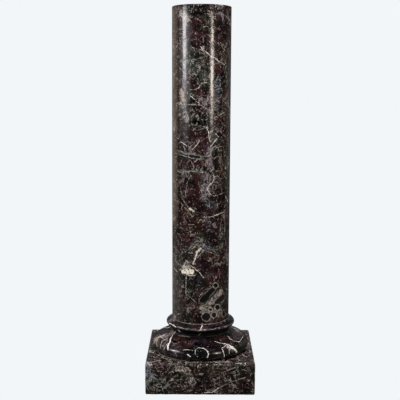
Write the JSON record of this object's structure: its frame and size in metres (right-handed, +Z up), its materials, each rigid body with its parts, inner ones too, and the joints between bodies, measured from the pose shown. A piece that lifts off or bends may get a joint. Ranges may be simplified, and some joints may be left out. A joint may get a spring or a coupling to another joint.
{
  "type": "marble column",
  "caption": "Round polished marble column: a plain straight shaft on a turned base with torus, hollow and ring, on a square plinth.",
  "frame": {"origin": "centre of the plinth's underside, on the floor", "axes": "+Z up along the shaft's axis, +X to the right and -Y towards the viewer of the picture, square to the plinth"},
  "size_m": [0.3, 0.3, 1.049],
  "materials": {
    "plinth_marble": "polished, worn to a soft sheen, densely mottled grey, maroon and green-black marble",
    "base_marble": "polished, maroon and blue-black marble with white veins",
    "shaft_marble": "polished, dark brown-maroon breccia marble with fine pale veins"
  },
  "bodies": {
    "root": {"plinth": "plinth_marble", "moulded_base": "base_marble", "shaft": "shaft_marble"}
  },
  "joints": []
}
